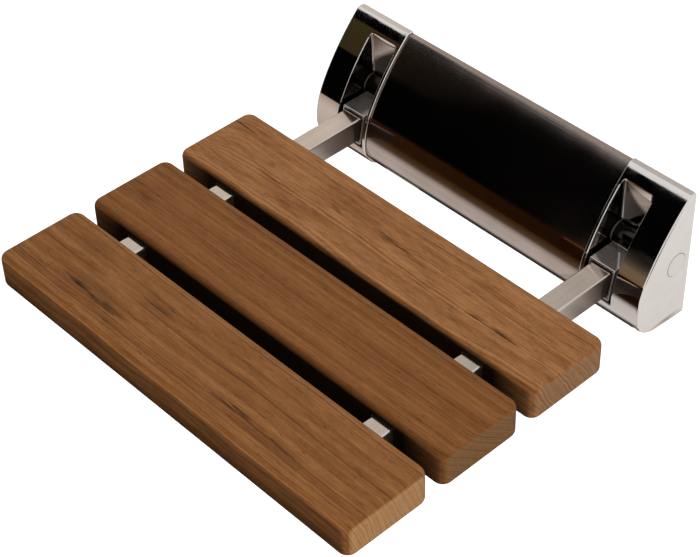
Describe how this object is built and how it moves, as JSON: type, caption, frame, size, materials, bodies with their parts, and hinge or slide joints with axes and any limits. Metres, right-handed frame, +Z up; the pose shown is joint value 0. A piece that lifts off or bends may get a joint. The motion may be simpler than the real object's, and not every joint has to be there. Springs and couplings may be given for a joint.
{
  "type": "fold down wall seat",
  "caption": "Wall seat of hardwood slats on square tube arms that hinge in the pockets of a curved metal wall bracket and fold up flat.",
  "frame": {"origin": "centre of the four wall screw holes, in the plane of the wall", "axes": "+X along the wall to the right as seen from in front, +Y into the wall, +Z up; the seat is folded down and reaches towards -Y"},
  "size_m": [0.35, 0.3335, 0.106],
  "materials": {
    "stainless": "brushed",
    "chrome": "polished",
    "dark_cover": "satin, brushed along its length",
    "spring_steel": "plain",
    "fasteners": "plain",
    "acetal": "smooth",
    "black_plastic": "moulded",
    "bronze": "plain",
    "satin_arm": "satin",
    "wood_rear": "oiled, golden brown with darker streaks",
    "wood_middle": "oiled, even reddish brown",
    "wood_front": "oiled, brown with fine dark grain"
  },
  "bodies": {
    "bracket": {"wall_plate": "stainless", "housing_left": "chrome", "housing_right": "chrome", "housing_screws": "fasteners", "centre_cover": "dark_cover", "cover_clips": "spring_steel", "clip_rivets": "fasteners", "cover_lock_screws": "fasteners", "pivot_pin_left": "stainless", "pivot_pin_right": "stainless", "friction_washers": "acetal", "pin_plug_left": "chrome", "pin_plug_right": "chrome", "stop_pad_left": "black_plastic", "stop_pad_right": "black_plastic"},
    "seat": {"knuckle_left": "chrome", "knuckle_right": "chrome", "pivot_bush_left": "bronze", "pivot_bush_right": "bronze", "arm_left": "satin_arm", "arm_right": "satin_arm", "cross_pins": "fasteners", "arm_plugs": "black_plastic", "slat_rear": "wood_rear", "slat_middle": "wood_middle", "slat_front": "wood_front", "slat_saddles": "stainless", "saddle_screws": "fasteners"}
  },
  "joints": [
    {"name": "seat_fold", "type": "hinge", "parent": "bracket", "child": "seat", "pos_m": [0, -0.0135, -0.0015], "axis": [-1, 0, 0], "range_deg": [0, 90]}
  ]
}
